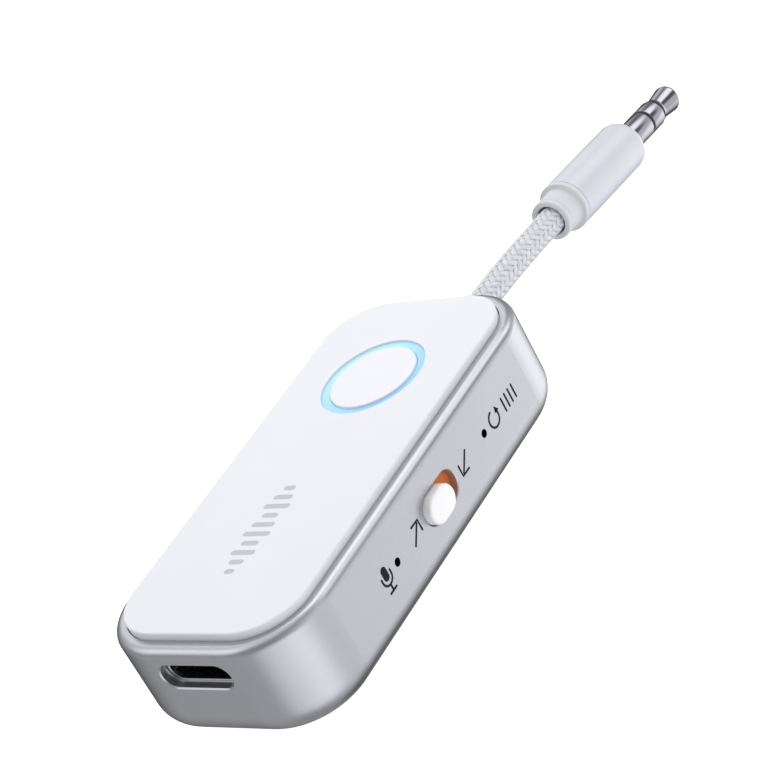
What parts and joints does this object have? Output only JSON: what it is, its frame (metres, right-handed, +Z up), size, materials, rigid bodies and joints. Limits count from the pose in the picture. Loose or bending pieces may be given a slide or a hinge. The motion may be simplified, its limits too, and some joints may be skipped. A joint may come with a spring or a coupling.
{
  "type": "bluetooth audio receiver",
  "caption": "Pocket wireless audio receiver: rounded pearl case, raised white top with a ring-lit button, slide switch, USB-C port and a short braided lead to a 3.5 mm jack.",
  "frame": {"origin": "centre of the housing's flat underside", "axes": "+Z up through the button, +Y towards the lead and plug, +X towards the side with the slide switch"},
  "size_m": [0.0274, 0.112, 0.0133],
  "materials": {
    "pearl_housing": "satin pearl silver paint over moulded ABS",
    "white_panel": "fine matt white moulding",
    "light_guide": "translucent, lit cyan to blue",
    "white_knob": "smooth white moulding",
    "orange_plastic": "orange moulding",
    "black_plastic": "black moulding",
    "black_rubber": "soft black rubber",
    "soft_white": "soft white elastomer",
    "plug_shell": "satin pearl white moulding",
    "braid": "tight white and grey braided sleeve",
    "nickel": "polished nickel plating",
    "steel": "drawn stainless sheet",
    "gold_contact": "gold plated",
    "circuit_board": "green solder mask on glass fibre board",
    "battery_pouch": "laminated foil pouch",
    "foam_tape": "double-sided foam tape",
    "wire_sleeve": "silicone wire insulation",
    "ceramic": "fired ceramic",
    "led_white": "white package with phosphor"
  },
  "bodies": {
    "receiver": {"housing": "pearl_housing", "top_cover": "white_panel", "light_ring": "light_guide", "button_switch_case": "black_plastic", "main_board": "circuit_board", "board_screws": "steel", "battery": "battery_pouch", "battery_pad": "foam_tape", "battery_leads": "wire_sleeve", "usb_shell": "steel", "usb_tongue": "black_plastic", "usb_contacts": "gold_contact", "slide_switch_case": "steel", "reset_switch_case": "black_plastic", "microphone": "steel", "microphone_boot": "black_rubber", "radio_shield": "steel", "audio_codec": "black_plastic", "charger_chip": "black_plastic", "crystal": "steel", "chip_antenna": "ceramic", "chip_capacitors": "ceramic", "ring_leds": "led_white", "cable_grommet": "soft_white", "audio_cord": "braid", "audio_leads": "wire_sleeve", "plug_strain_relief": "soft_white", "plug_barrel": "plug_shell", "plug_core": "soft_white", "jack_sleeve": "nickel", "jack_ring": "nickel", "jack_tip": "nickel", "jack_insulators": "black_plastic"},
    "button": {"button_cap": "white_panel", "button_switch_plunger": "black_plastic"},
    "slider": {"slider_knob": "white_knob", "slider_carrier": "orange_plastic", "slide_switch_lever": "black_plastic"},
    "reset": {"reset_switch_plunger": "white_knob"}
  },
  "joints": [
    {"name": "button_press", "type": "slide", "parent": "receiver", "child": "button", "axis": [0, 0, -1], "range_m": [0, 0.0003], "stiffness_N_per_m": 5000},
    {"name": "slider_travel", "type": "slide", "parent": "receiver", "child": "slider", "axis": [0, 1, 0], "range_m": [0, 0.0019]},
    {"name": "reset_press", "type": "slide", "parent": "receiver", "child": "reset", "axis": [-1, 0, 0], "range_m": [0, 0.00025], "stiffness_N_per_m": 5000}
  ]
}
